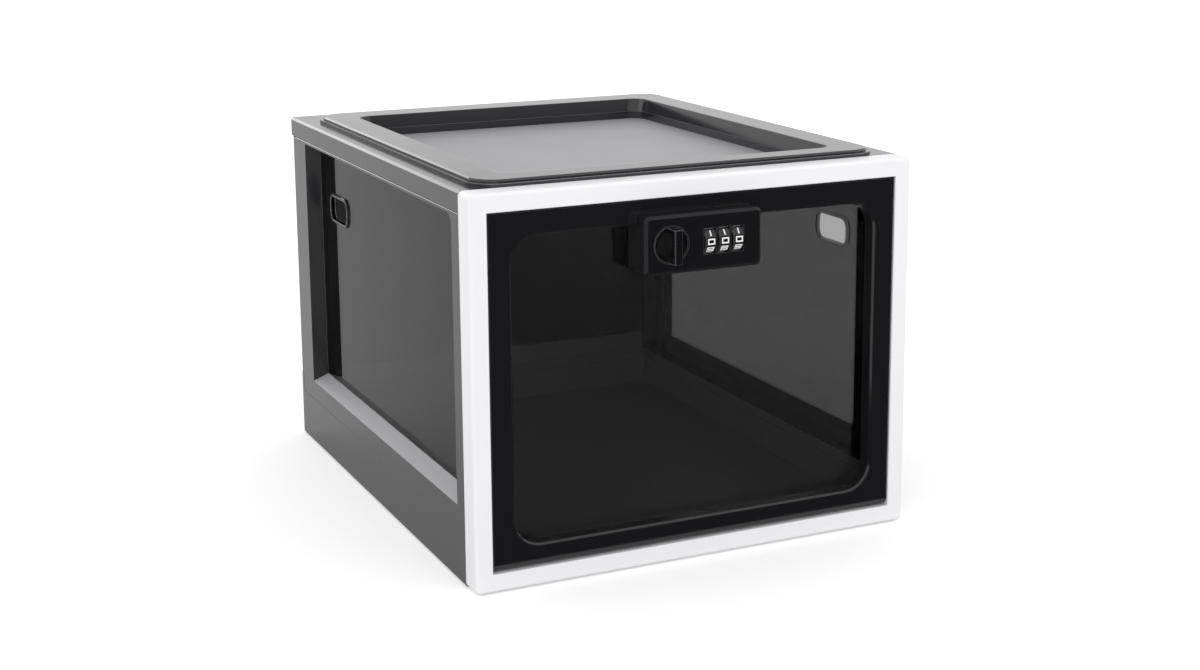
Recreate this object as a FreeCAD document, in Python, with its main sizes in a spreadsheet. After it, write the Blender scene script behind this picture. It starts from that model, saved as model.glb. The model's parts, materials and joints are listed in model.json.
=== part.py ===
"""Lockable storage box with a drop-down door, smoked windows and a three-wheel combination lock.

Frame: X to the right, Y from the door to the back, Z up. The origin is on the surface that the
feet stand on, midway across the box and midway between the lock's grip and the back of the lid.
Lengths are in millimetres. Every size comes from the sheet below, through expressions.
"""
import FreeCAD, Part
import math
import os
import re
import Sketcher

doc = FreeCAD.newDocument("lock_box")

# ---------------------------------------------------------------- driving dimensions

SIZES = {
    # case
    "case_width": (260, "over the side panels and the front frame"),
    "case_depth": (318.5, "face of the front frame to the back of the lid"),
    "case_height": (210, "standing surface to the flat top of the frame and lid"),
    "foot_stand": (0.8, "gap under the case, held by the feet"),
    "wall": (2.4, "moulded wall"),
    "fit_gap": (0.15, "between pieces that plug together"),
    "seam_height": (30.4, "standing surface to the seam of base and side panel"),
    "rear_rise": (11.6, "how far the back wall of the base stands above that seam"),
    "side_thickness": (13, "side wall over all"),
    "back_thickness": (4, "rear panel"),
    "back_return": (6.5, "rear panel's edge, seen from the side"),
    "back_set": (1.3, "rear panel in from the back of the base"),
    "lid_lap": (2, "lid out beyond the back of the base"),
    "case_corner": (4, "upright corner at the back"),
    "edge_round": (0.8, "small rounding or bevel of moulded edges"),
    "seam_bevel": (0.35, "bevel along both sides of each seam of the case"),
    # front frame
    "frame_depth": (14, "front to back"),
    "frame_side": (9.75, "bar at each side, seen from the front"),
    "frame_top": (10, "bar at the top"),
    "frame_bottom": (9.8, "bar at the bottom"),
    "frame_wall": (2.5, "wall of the hollow bars"),
    "frame_slot": (9.7, "depth of the slot that takes the case's tongues"),
    "frame_corner": (2.7, "corner seen from the front"),
    "frame_edge": (1.8, "rounding of the outer front edge"),
    "tongue": (8, "length of the tongues in the slot"),
    "tongue_lift": (0.9, "lid's tongue above the floor of its slot, clear of the lock's cam"),
    "stop_width": (3, "ledge that the closed door rests against"),
    "stop_gap": (0.3, "between the closed door and that ledge"),
    # door
    "door_gap": (0.5, "between the door and the frame"),
    "door_recess": (0.8, "door's face behind the frame's face"),
    "door_depth": (10.6, "front to back"),
    "door_side": (12.55, "border at each side of the window"),
    "door_high_border": (12.8, "border above the window"),
    "door_low_border": (12.1, "border below the window"),
    "door_wall": (2.6, "wall around the window well"),
    "door_pane": (2.4, "thickness of the door's window"),
    "door_rebate": (1.6, "how far the window laps the well's wall"),
    "well_corner": (15, "corner of the window well"),
    "well_bevel": (1, "bevel of the well's front edge"),
    "barrel_radius": (4.6, "rounded lower edge of the door, about the hinge"),
    "pin_radius": (2.5, "hinge pin"),
    "pin_clearance": (0.05, "pin in the frame's socket, on the radius"),
    "pin_grip": (10, "pin's length in the door"),
    "pin_socket": (7, "depth of the frame's socket"),
    "pin_end_gap": (0.3, "pin's end to the bottom of the socket"),
    # lock
    "lock_width": (68.4, "housing"),
    "lock_height": (31, "housing"),
    "lock_offset": (3.5, "housing's middle to the left of the box's middle"),
    "lock_drop": (22.6, "door's top edge down to the housing's middle"),
    "lock_stand": (10, "housing's face in front of the frame's face"),
    "lock_wall": (2, "housing's side walls"),
    "lock_skin": (1.6, "housing's front wall"),
    "lock_bevel": (1.5, "bevel around the housing's face"),
    "lock_corner": (3, "housing's corners"),
    "cover_thickness": (2.2, "plate that closes the lock inside the door"),
    "cover_set": (0.6, "that plate in from the housing's outline"),
    "post_width": (5.6, "square screw posts in the housing"),
    "post_inset": (2.4, "middle of a post from the inner walls"),
    "screw_radius": (1.2, "pilot hole and screw shank"),
    "screw_head": (2.4, "pan head, radius"),
    "screw_head_height": (1.2, "pan head"),
    "screw_length": (14, "under the cover's back face"),
    "knob_offset": (19.1, "knob's axis to the left of the housing's middle"),
    "knob_radius": (10.1, "turning disc"),
    "knob_depth": (4.5, "turning disc"),
    "dish_radius": (9.3, "hollow in the disc's face"),
    "dish_depth": (2.8, "hollow in the disc's face"),
    "dish_slope": (2.4, "how far the hollow's sloping wall leans in"),
    "grip_width": (4.6, "bar across the disc"),
    "grip_stand": (8.5, "bar's height above the housing's face"),
    "turn_clearance": (0.1, "around the disc, on the radius"),
    "spindle_radius": (3, "lock spindle"),
    "spindle_barrel": (5, "thicker part of the spindle, between the knob and the cover"),
    "shoulder_gap": (0.3, "between that part and the cover"),
    "spindle_square": (4.2, "square end that drives the cam"),
    "shaft_clearance": (0.05, "turning shafts in their holes, on the radius"),
    "cam_reach": (25.7, "spindle's axis to the cam's tip"),
    "cam_width": (12, "cam's tongue"),
    "cam_thickness": (2.4, "cam"),
    "cam_hub": (7, "cam's round end"),
    "cam_gap": (0.4, "between the cam and the back of the frame"),
    "cam_screw_head": (3.4, "hexagon screw that holds the cam, middle to corner"),
    "cam_screw_height": (1.6, "its head"),
    "cam_screw_length": (6, "its shank"),
    "strike_width": (40, "steel plate that the cam closes behind"),
    "strike_thickness": (1, "steel plate"),
    "wheel_radius": (7.5, "ten-sided number wheel, over its corners"),
    "wheel_width": (6.5, "number wheel"),
    "wheel_pitch": (8.2, "wheel to wheel"),
    "wheel_offset": (11.4, "middle wheel to the right of the housing's middle"),
    "wheel_stand": (2.2, "wheel in front of the housing's face"),
    "wheel_bevel": (0.5, "wheel's edges"),
    "slot_gap": (0.3, "around each wheel"),
    "sleeve_radius": (3.3, "code sleeve inside a wheel"),
    "sleeve_proud": (0.5, "how far a sleeve stands out of its wheel at each side"),
    "sleeve_flat": (0.8, "depth of the flat that lets the lock turn at the right number"),
    "web_gap": (0.4, "end of a sleeve to the web beside it"),
    "axle_radius": (1.5, "wheel axle"),
    "rib_thickness": (1.4, "webs that carry the axle"),
    "spring_thickness": (0.5, "detent spring"),
    "finger_width": (3.6, "detent spring's fingers"),
    "spring_gap": (0.4, "between a finger and its wheel"),
    "lever_pivot": (1.5, "pivot of the lever that frees the code sleeves"),
    "lever_head": (4.4, "its round end"),
    "lever_length": (8.2, "its arm, from the pivot"),
    "lever_width": (2.6, "its arm"),
    "lever_thickness": (1.8, "its arm"),
    # lid
    "lid_skirt": (11.5, "height of the lid's edge"),
    "lid_edge": (1.2, "rounding of the lid's top edge"),
    "ring_rise": (3.5, "stacking ring above the lid"),
    "ring_step_rise": (1.8, "its lower step above the lid"),
    "ring_step": (2.2, "its lower step out from the upper one"),
    "ring_side": (12, "edge of the lid to the ring, at each side"),
    "ring_back": (22.5, "edge of the lid to the ring, at the back"),
    "ring_gap": (0.4, "back of the frame to the ring's lower step"),
    "ring_corner": (14, "corner of the ring"),
    "tray_side": (18.5, "ring's top face, at each side"),
    "tray_front": (15, "ring's top face, at the front"),
    "tray_back": (21, "ring's top face, at the back"),
    "tray_depth": (13, "ring's top down to the floor of the tray"),
    "tray_ledge": (8.2, "ring's top down to the crease in the tray's wall"),
    "tray_draft": (1.6, "lean of the tray's upper wall"),
    "tray_corner": (9, "corner of the tray"),
    # side panels and windows
    "window_front": (10.7, "frame to the window recess"),
    "window_back": (29, "window recess to the rear panel's face"),
    "window_low": (12.1, "seam up to the window recess"),
    "window_high": (1.7, "lid down to the window recess"),
    "recess_depth": (9.5, "panel's face to the window's face"),
    "recess_round": (7, "corner of the recess next to the frame and the lid"),
    "sill_rise": (4, "how far the sill climbs inwards"),
    "jamb_lean": (0.8, "how far the other three sides lean inwards"),
    "side_pane": (2, "thickness of a side window"),
    "flange_width": (8, "ledge behind the window's edge"),
    "flange_corner": (4, "corner of the opening inside that ledge"),
    "core_border": (4.8, "solid ends of the hollows behind the panel's bars"),
    "hole_offset": (91, "cable hole from the middle of the window, lengthways"),
    "hole_height": (160, "standing surface to the middle of the cable hole"),
    "hole_length": (33, "cable hole"),
    "hole_width": (15, "cable hole"),
    "hole_corner": (5, "cable hole"),
    "rim_width": (1.6, "raised rim around the cable hole"),
    "rim_rise": (1.2, "raised rim around the cable hole"),
    "key_width": (4, "tongue under each panel, across"),
    "key_depth": (4, "tongue under each panel, height"),
    "key_wall": (1.2, "between that tongue and the hollow beside it"),
    "field_border": (10, "edge of the rear panel to its sunk field"),
    # base and feet
    "floor_thickness": (2.4, "floor of the base"),
    "floor_height": (6.4, "standing surface to the top of the floor"),
    "front_wall": (5, "base's front wall behind the frame"),
    "channel_height": (22, "standing surface to the top of the hollow under each side wall"),
    "ledge_height": (24, "standing surface to the ledge inside the base"),
    "ledge_width": (1.5, "ledge inside the base"),
    "rib_pitch": (64, "ribs under the floor"),
    "rib_width": (1.2, "ribs under the floor, and the rims around the feet"),
    "foot_length": (26, "rubber foot, front to back"),
    "foot_width": (14, "rubber foot, across"),
    "foot_thickness": (2.4, "rubber foot"),
    "foot_inset": (24, "foot's middle in from the base's edges"),
}

WORDS = {
    # across
    "half": "case_width / 2",
    "opening_half": "half - frame_side",
    "door_half": "opening_half - door_gap",
    "well_half": "door_half - door_side",
    "inner_half": "half - side_thickness",
    # front to back
    "front": "(lock_stand + grip_stand - case_depth) / 2",
    "frame_back": "front + frame_depth",
    "lid_back": "front + case_depth",
    "base_back": "lid_back - lid_lap",
    "panel_back": "base_back - back_set",
    "panel_inside": "panel_back - back_thickness",
    "side_back": "panel_back - back_return",
    "door_face": "front + door_recess",
    "door_back": "door_face + door_depth",
    "pane_face": "door_back - door_pane",
    "stop_face": "door_back + stop_gap",
    "hinge_y": "door_face + barrel_radius",
    # up
    "opening_low": "foot_stand + frame_bottom",
    "opening_high": "case_height - frame_top",
    "door_low": "opening_low + door_gap",
    "door_high": "opening_high - door_gap",
    "hinge_z": "door_low + barrel_radius",
    "well_low": "door_low + door_low_border",
    "well_high": "door_high - door_high_border",
    "rear_seam": "seam_height + rear_rise",
    "lid_low": "case_height - lid_skirt",
    "lid_under": "case_height - wall",
    "ring_top": "case_height + ring_rise",
    "tray_crease": "ring_top - tray_ledge",
    "tray_floor": "ring_top - tray_depth",
    # stacking ring and tray
    "ring_half": "half - ring_side",
    "ring_start": "frame_back + ring_gap + ring_step",
    "ring_end": "lid_back - ring_back",
    "tray_half": "ring_half - tray_side",
    "tray_start": "ring_start + tray_front",
    "tray_end": "ring_end - tray_back",
    # lock
    "lock_face": "front - lock_stand",
    "lock_inside": "lock_face + lock_skin",
    "cover_back": "door_back + cover_thickness",
    "cam_face": "frame_back + cam_gap",
    "cam_back": "cam_face + cam_thickness",
    "lock_x": "-lock_offset",
    "lock_z": "door_high - lock_drop",
    "lock_left": "lock_x - lock_width / 2",
    "lock_right": "lock_x + lock_width / 2",
    "lock_low": "lock_z - lock_height / 2",
    "lock_high": "lock_z + lock_height / 2",
    "knob_x": "lock_x - knob_offset",
    "wheel_x": "lock_x + wheel_offset",
    "axle_y": "lock_face - wheel_stand + wheel_radius",
    "rib_back": "axle_y + wheel_radius + spring_gap",
    "web_left": "wheel_x - wheel_pitch - wheel_width / 2 - sleeve_proud - web_gap",
    "web_right": "wheel_x + wheel_pitch + wheel_width / 2 + sleeve_proud + web_gap",
    "slot_half": "sqrt(wheel_radius^2 - (wheel_radius - wheel_stand - lock_skin)^2) + slot_gap",
    "post_x": "lock_width / 2 - lock_wall - post_inset",
    "post_z": "lock_height / 2 - lock_wall - post_inset",
    "lever_x": "wheel_x + wheel_pitch",
    # window recess of a side panel, as it is at the panel's face
    "recess_front": "frame_back + window_front",
    "recess_back": "panel_back - window_back",
    "recess_low": "seam_height + window_low",
    "recess_high": "lid_low - window_high",
    "window_middle": "(recess_front + recess_back) / 2",
    "pane_out": "half - recess_depth",
    "pane_in": "half - recess_depth - side_pane",
    "key_middle": "half - side_thickness / 2",
}

sheet = doc.addObject("Spreadsheet::Sheet", "size")
for row, (alias, (value, note)) in enumerate(SIZES.items(), start=1):
    sheet.set(f"A{row}", note)
    sheet.set(f"B{row}", str(value))
    sheet.setAlias(f"B{row}", alias)
doc.recompute()

# ---------------------------------------------------------------- modelling helpers

SMALL = 1e-4
NUMBERS = 10      # on a wheel, 0 to 9
nodes = []


def bound(text):
    """Writes out the names of WORDS, and puts the sheet's name before each of its aliases."""
    def swap(match):
        word = match[0]
        if word in WORDS:
            return "(" + bound(WORDS[word]) + ")"
        return "size." + word if word in SIZES else word
    return re.sub(r"[a-z_][a-z_0-9]*", swap, str(text))


def number(text):
    """The value of an expression in millimetres."""
    return float(sheet.evalExpression(bound(text)))


def new_body(label, node=True):
    body = doc.addObject("PartDesign::Body", label)
    body.Label = label
    if node:
        nodes.append(body)
    return body


def place(thing, x="0", y="0", z="0"):
    """Puts a piece that is modelled about its own axis where it belongs."""
    for axis, text in zip("xyz", (x, y, z)):
        thing.setExpression(f".Placement.Base.{axis}", bound(text))


def origin_feature(body, role):
    return next(item for item in body.Origin.OriginFeatures if item.Role == role)


def tie(sketch, kind, geometry, point, text, name):
    """Sets a point's distance from the sketch's origin by an expression."""
    index = sketch.addConstraint(Sketcher.Constraint(kind, -1, 1, geometry, point, number(text)))
    sketch.renameConstraint(index, name)
    sketch.setExpression(f"Constraints.{name}", bound(text))


def rectangle(left, right, low, high, radius=None):
    """A rectangle between four places, with its corners rounded if a radius is given."""
    def draw(sketch, tag):
        l, r, b, t = (number(text) for text in (left, right, low, high))
        q = number(radius) if radius else 0
        ends = [(l + q, b, r - q, b), (r, b + q, r, t - q), (r - q, t, l + q, t), (l, t - q, l, b + q)]
        sides = sketch.addGeometry([Part.LineSegment(FreeCAD.Vector(a, c, 0), FreeCAD.Vector(d, e, 0))
                                    for a, c, d, e in ends], False)
        rules = [Sketcher.Constraint("Horizontal", sides[0]), Sketcher.Constraint("Vertical", sides[1]),
                 Sketcher.Constraint("Horizontal", sides[2]), Sketcher.Constraint("Vertical", sides[3])]
        if radius:
            centres = [(r - q, b + q), (r - q, t - q), (l + q, t - q), (l + q, b + q)]
            arcs = sketch.addGeometry([
                Part.ArcOfCircle(Part.Circle(FreeCAD.Vector(x, y, 0), FreeCAD.Vector(0, 0, 1), q),
                                 math.radians(90 * k - 90), math.radians(90 * k))
                for k, (x, y) in enumerate(centres)], False)
            for k in range(4):
                rules.append(Sketcher.Constraint("Tangent", sides[k], 2, arcs[k], 1))
                rules.append(Sketcher.Constraint("Tangent", arcs[k], 2, sides[(k + 1) % 4], 1))
            rules += [Sketcher.Constraint("Equal", arcs[0], arcs[k]) for k in (1, 2, 3)]
        else:
            rules += [Sketcher.Constraint("Coincident", sides[k], 2, sides[(k + 1) % 4], 1) for k in range(4)]
        sketch.addConstraint(rules)
        tie(sketch, "DistanceX", sides[3], 1, left, tag + "left")
        tie(sketch, "DistanceX", sides[1], 1, right, tag + "right")
        tie(sketch, "DistanceY", sides[0], 1, low, tag + "low")
        tie(sketch, "DistanceY", sides[2], 1, high, tag + "high")
        if radius:
            index = sketch.addConstraint(Sketcher.Constraint("Radius", arcs[0], q))
            sketch.renameConstraint(index, tag + "radius")
            sketch.setExpression(f"Constraints.{tag}radius", bound(radius))
    return draw


def disc(x, y, radius):
    """A circle about a point."""
    def draw(sketch, tag):
        circle = Part.Circle(FreeCAD.Vector(number(x), number(y), 0), FreeCAD.Vector(0, 0, 1), number(radius))
        index = sketch.addGeometry(circle, False)
        tie(sketch, "DistanceX", index, 3, x, tag + "x")
        tie(sketch, "DistanceY", index, 3, y, tag + "y")
        rule = sketch.addConstraint(Sketcher.Constraint("Radius", index, number(radius)))
        sketch.renameConstraint(rule, tag + "radius")
        sketch.setExpression(f"Constraints.{tag}radius", bound(radius))
    return draw


def outline(points, bends=None):
    """A closed outline through points. bends gives the radius of the arc that leaves a point,
    negative for an arc that turns clockwise."""
    bends = bends or {}

    def draw(sketch, tag):
        spots = [FreeCAD.Vector(number(x), number(y), 0) for x, y in points]
        count = len(spots)
        ends = {}
        lines = []
        for k, start in enumerate(spots):
            stop = spots[(k + 1) % count]
            if k in bends:
                radius = number(bends[k])
                chord = stop - start
                rise = math.sqrt(max(radius * radius - chord.Length ** 2 / 4, 0))
                left = FreeCAD.Vector(-chord.y, chord.x, 0).normalize()
                centre = (start + stop) * 0.5 + left * rise * math.copysign(1, radius)
                first, last = (start, stop) if radius > 0 else (stop, start)
                circle = Part.Circle(centre, FreeCAD.Vector(0, 0, 1), abs(radius))
                index = sketch.addGeometry(Part.ArcOfCircle(
                    circle, circle.parameter(first), circle.parameter(last)), False)
                ends[k] = (index, 1, 2) if radius > 0 else (index, 2, 1)
                rule = sketch.addConstraint(Sketcher.Constraint("Radius", index, abs(radius)))
                sketch.renameConstraint(rule, f"{tag}bend{k}")
                sketch.setExpression(f"Constraints.{tag}bend{k}", f"abs({bound(bends[k])})")
            else:
                index = sketch.addGeometry(Part.LineSegment(start, stop), False)
                ends[k] = (index, 1, 2)
                lines.append(k)
        for k in range(count):
            this, after = ends[k], ends[(k + 1) % count]
            sketch.addConstraint(Sketcher.Constraint("Coincident", this[0], this[2], after[0], after[1]))
        for k, (x, y) in enumerate(points):
            tie(sketch, "DistanceX", ends[k][0], ends[k][1], x, f"{tag}x{k}")
            tie(sketch, "DistanceY", ends[k][0], ends[k][1], y, f"{tag}y{k}")
    return draw


def sketch_on(body, name, plane, at, shapes):
    """A sketch parallel to one of the body's origin planes. On XZ its own normal is -Y."""
    sketch = body.newObject("Sketcher::SketchObject", name)
    sketch.AttachmentSupport = [(origin_feature(body, plane + "_Plane"), "")]
    sketch.MapMode = "FlatFace"
    sign = "-" if plane == "XZ" else ""
    sketch.setExpression(".AttachmentOffset.Base.z", bound(f"{sign}({at})"))
    for number_of, shape in enumerate(shapes):
        shape(sketch, f"s{number_of}_")
    return sketch


def prism(kind, body, name, plane, low, high, shapes):
    """Pads or pockets a sketch between two places along the plane's normal axis."""
    sketch = sketch_on(body, name + "_sketch", plane, high if plane == "XZ" else low, shapes)
    doc.recompute([sketch])
    before = body.Shape.Volume if kind == "PartDesign::Pocket" else 0
    feature = body.newObject(kind, name)
    feature.Profile = sketch
    feature.setExpression("Length", bound(f"({high}) - ({low})"))
    feature.Reversed = kind == "PartDesign::Pocket"
    doc.recompute([feature, body])
    if kind == "PartDesign::Pocket" and not body.Shape.Volume < before - SMALL:
        raise RuntimeError(f"{name} removes nothing")
    return feature


def add(body, name, plane, low, high, *shapes):
    return prism("PartDesign::Pad", body, name, plane, low, high, shapes)


def cut(body, name, plane, low, high, *shapes):
    return prism("PartDesign::Pocket", body, name, plane, low, high, shapes)


def cut_between(body, name, plane, first_at, first, second_at, second):
    """Cuts a tapering hollow between two sketches."""
    start = sketch_on(body, name + "_start", plane, first_at, [first])
    stop = sketch_on(body, name + "_stop", plane, second_at, [second])
    doc.recompute()
    feature = body.newObject("PartDesign::SubtractiveLoft", name)
    feature.Profile = start
    feature.Sections = [stop]
    feature.Ruled = True
    doc.recompute()
    return feature


def turn(body, name, plane, axis, points):
    """Revolves a closed profile about one of its sketch's own axes."""
    sketch = sketch_on(body, name + "_sketch", plane, "0", [outline(points)])
    doc.recompute()
    feature = body.newObject("PartDesign::Revolution", name)
    feature.Profile = sketch
    feature.ReferenceAxis = (sketch, [axis])
    feature.Angle = 360
    doc.recompute()
    return feature


def dress(kind, body, name, size, pick):
    """Rounds or bevels the edges of the body's last feature that pick accepts."""
    base = body.Tip
    names = [f"Edge{k}" for k, edge in enumerate(base.Shape.Edges, start=1) if pick(edge)]
    if not names:
        raise RuntimeError(f"{name} finds no edge")
    feature = body.newObject(kind, name)
    feature.Base = (base, names)
    feature.setExpression("Radius" if kind == "PartDesign::Fillet" else "Size", bound(size))
    doc.recompute([feature, body])
    return feature


def round_off(body, name, size, pick):
    return dress("PartDesign::Fillet", body, name, size, pick)


def bevel(body, name, size, pick):
    return dress("PartDesign::Chamfer", body, name, size, pick)


def lies_at(axis, text):
    """Picks edges that lie whole in the plane where axis has this value."""
    value = number(text)

    def pick(edge):
        box = edge.BoundBox
        low, high = getattr(box, axis.upper() + "Min"), getattr(box, axis.upper() + "Max")
        return abs(low - value) < SMALL and abs(high - value) < SMALL
    return pick


def middle(edge):
    return edge.BoundBox.Center


def repeat(body, name, feature, count, axis, length=None):
    """Repeats a feature along an origin axis, or about it where no length is given."""
    kind = "PartDesign::LinearPattern" if length else "PartDesign::PolarPattern"
    pattern = body.newObject(kind, name)
    pattern.Originals = [feature]
    line = (origin_feature(body, axis + "_Axis"), [""])
    if length:
        pattern.Direction = line
        pattern.setExpression("Length", bound(length))
    else:
        pattern.Axis = line
        pattern.Angle = 360
    pattern.Occurrences = count
    body.Tip = pattern
    doc.recompute()
    return pattern


def join(label, pieces):
    """One node of several separate solids."""
    group = doc.addObject("Part::Compound", label)
    group.Label = label
    group.Links = pieces
    nodes.append(group)
    return group


def mirrored_set(label, first, planes):
    """Copies a piece across each plane in turn, and joins the copies as separate solids."""
    pieces = [first]
    for axis, text in planes:
        for source in list(pieces):
            copy = doc.addObject("Part::Mirroring", f"{label}_across_{axis}")
            copy.Source = source
            copy.Normal = FreeCAD.Vector(*(float(axis == name) for name in "xyz"))
            copy.setExpression(f"Base.{axis}", bound(text))
            pieces.append(copy)
    return join(label, pieces)


def side(sign, near, far):
    """The lower and higher X of a span that is given outwards from the middle."""
    return (f"-({far})", f"-({near})") if sign < 0 else (near, far)


# ---------------------------------------------------------------- front frame and strike

def make_front_frame():
    body = new_body("front_frame")
    outer = rectangle("-half", "half", "foot_stand", "case_height", "frame_corner")
    add(body, "bars", "XZ", "front", "stop_face", outer,
        rectangle("-opening_half", "opening_half", "opening_low", "opening_high"))
    add(body, "door_stop", "XZ", "stop_face", "frame_back", outer,
        rectangle("-(opening_half - stop_width)", "opening_half - stop_width", "opening_low",
                  "opening_high - stop_width"))
    in_front = lies_at("y", "front")
    clear = number("frame_wall")
    half, low, high = number("opening_half"), number("opening_low"), number("opening_high")

    def outside(edge):
        box = edge.BoundBox
        return (box.XMax > half + clear or box.XMin < -half - clear
                or box.ZMax > high + clear or box.ZMin < low - clear)
    round_off(body, "front_round", "frame_edge", lambda edge: in_front(edge) and outside(edge))
    in_front = lies_at("y", "front")
    bevel(body, "opening_bevel", "edge_round / 2", lambda edge: in_front(edge) and not outside(edge))
    slot_from, slot_to = "frame_back - frame_slot", "frame_back"
    cut(body, "top_slot", "XZ", slot_from, slot_to,
        rectangle("-(half - frame_wall)", "half - frame_wall", "opening_high + frame_wall",
                  "case_height - frame_wall"))
    cut(body, "bottom_slot", "XZ", slot_from, slot_to,
        rectangle("-(opening_half - pin_grip)", "opening_half - pin_grip", "foot_stand + frame_wall",
                  "opening_low - frame_wall"))
    for sign, hand in ((-1, "left"), (1, "right")):
        low_x, high_x = side(sign, "opening_half + frame_wall", "half - frame_wall")
        cut(body, hand + "_slot", "XZ", slot_from, slot_to,
            rectangle(low_x, high_x, "seam_height", "opening_high + frame_wall"))
        cut(body, hand + "_socket", "YZ", *side(sign, "opening_half", "opening_half + pin_socket"),
            disc("hinge_y", "hinge_z", "pin_radius + pin_clearance"))
    cut(body, "strike_seat", "XZ", "frame_back - strike_thickness", "frame_back",
        rectangle("knob_x - strike_width / 2", "knob_x + strike_width / 2",
                  "opening_high - stop_width", "opening_high + frame_wall"))
    return body


def make_strike_plate():
    body = new_body("strike_plate")
    add(body, "plate", "XZ", "frame_back - strike_thickness", "frame_back",
        rectangle("knob_x - strike_width / 2 + fit_gap", "knob_x + strike_width / 2 - fit_gap",
                  "opening_high - stop_width", "opening_high + frame_wall - fit_gap"))
    return body


# ---------------------------------------------------------------- base and feet

def make_base_tray():
    body = new_body("base_tray")
    add(body, "block", "XY", "foot_stand", "seam_height",
        rectangle("-half", "half", "frame_back", "base_back"))
    add(body, "back_wall", "XY", "seam_height", "rear_seam",
        rectangle("-half", "half", "side_back", "base_back"))
    back = number("base_back")
    round_off(body, "upright_corners", "case_corner", lambda edge: edge.BoundBox.XLength < SMALL
              and edge.BoundBox.YLength < SMALL and abs(middle(edge).y - back) < SMALL)
    at_floor = lies_at("z", "foot_stand")
    bevel(body, "lower_edge", "edge_round",
          lambda edge: at_floor(edge) and middle(edge).y > number("frame_back") + SMALL)
    at_seam = lies_at("z", "seam_height")
    bevel(body, "seam_edge", "seam_bevel",
          lambda edge: at_seam(edge) and abs(abs(middle(edge).x) - number("half")) < SMALL)
    cut(body, "inside", "XY", "floor_height", "seam_height",
        rectangle("-inner_half", "inner_half", "frame_back + front_wall", "side_back - wall"))
    cut(body, "inside_ledge", "XY", "ledge_height", "seam_height",
        rectangle("-(inner_half + ledge_width)", "inner_half + ledge_width", "frame_back",
                  "side_back - wall + ledge_width"))
    cut(body, "doorway", "XY", "opening_low", "seam_height",
        rectangle("-inner_half", "inner_half", "frame_back", "frame_back + front_wall"))
    under = "floor_height - floor_thickness"
    under_half = "inner_half - wall"
    under_front, under_back = "frame_back + front_wall", "side_back - case_corner"
    cut(body, "under_floor", "XY", "foot_stand", under,
        rectangle(f"-({under_half})", under_half, under_front, under_back))
    for sign, hand in ((-1, "left"), (1, "right")):
        low_x, high_x = side(sign, "inner_half + wall", "half - wall")
        cut(body, hand + "_channel", "XY", "foot_stand", "channel_height",
            rectangle(low_x, high_x, "frame_back + front_wall", "side_back"))
        low_x, high_x = side(sign, "key_middle - key_width / 2 - fit_gap",
                             "key_middle + key_width / 2 + fit_gap")
        cut(body, hand + "_key_slot", "XY", "seam_height - key_depth - fit_gap", "seam_height",
            rectangle(low_x, high_x, "recess_front - fit_gap", "recess_back + fit_gap"))
    cut(body, "back_key_slot", "XY", "rear_seam - key_depth - fit_gap", "rear_seam",
        rectangle("-(inner_half + fit_gap)", "inner_half + fit_gap", "panel_inside + edge_round - fit_gap",
                  "panel_back - edge_round + fit_gap"))
    for k in (-1, 0, 1):
        add(body, f"long_rib_{k + 2}", "XY", "foot_stand + edge_round", under,
            rectangle(f"{k} * rib_pitch - rib_width / 2", f"{k} * rib_pitch + rib_width / 2",
                      under_front, under_back))
        add(body, f"cross_rib_{k + 2}", "XY", "foot_stand + edge_round", under,
            rectangle(f"-({under_half})", under_half, f"window_middle + {k} * rib_pitch - rib_width / 2",
                      f"window_middle + {k} * rib_pitch + rib_width / 2"))
    for name, x, y in foot_places():
        add(body, name + "_rim", "XY", "foot_stand", under, foot_outline(x, y, "fit_gap + rib_width"))
        cut(body, name + "_pocket", "XY", "foot_stand", "foot_thickness", foot_outline(x, y, "fit_gap"))
    add(body, "front_tongue", "XZ", "frame_back - tongue", "frame_back",
        rectangle("-(opening_half - pin_grip - fit_gap)", "opening_half - pin_grip - fit_gap",
                  "foot_stand + frame_wall + fit_gap", "opening_low - frame_wall - fit_gap"))
    return body


def foot_places():
    x, front, back = "inner_half - foot_inset", "frame_back + foot_inset", "side_back - foot_inset"
    return (("foot_1", f"-({x})", front), ("foot_2", x, front),
            ("foot_3", f"-({x})", back), ("foot_4", x, back))


def foot_outline(x, y, gap):
    return rectangle(f"{x} - foot_width / 2 - ({gap})", f"{x} + foot_width / 2 + ({gap})",
                     f"{y} - foot_length / 2 - ({gap})", f"{y} + foot_length / 2 + ({gap})")


def make_feet():
    """Four bevelled rubber blocks, each pressed into the rim that the base has for it."""
    foot = new_body("rubber_foot", node=False)
    name, x, y = foot_places()[0]
    add(foot, "pad", "XY", "0", "foot_thickness", foot_outline(x, y, "0"))
    bevel(foot, "pad_bevel", "edge_round", lies_at("z", "0"))
    return mirrored_set("rubber_feet", foot, (("x", "0"), ("y", "(frame_back + side_back) / 2")))


# ---------------------------------------------------------------- side panels and windows

def recess(inset, gap="0"):
    """Outline of the window recess, drawn in by a share of the way from the panel's face and by a gap.
    The corner between the frame and the lid is a wide round."""
    front, back = f"recess_front + jamb_lean * {inset} + {gap}", f"recess_back - jamb_lean * {inset} - {gap}"
    low, high = f"recess_low + sill_rise * {inset} + {gap}", f"recess_high - jamb_lean * {inset} - {gap}"
    wide = f"(recess_round - {gap})"
    return outline([(front, low), (back, low), (back, high), (f"{front} + {wide}", high),
                    (front, f"{high} - {wide}")], {3: wide})


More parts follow.
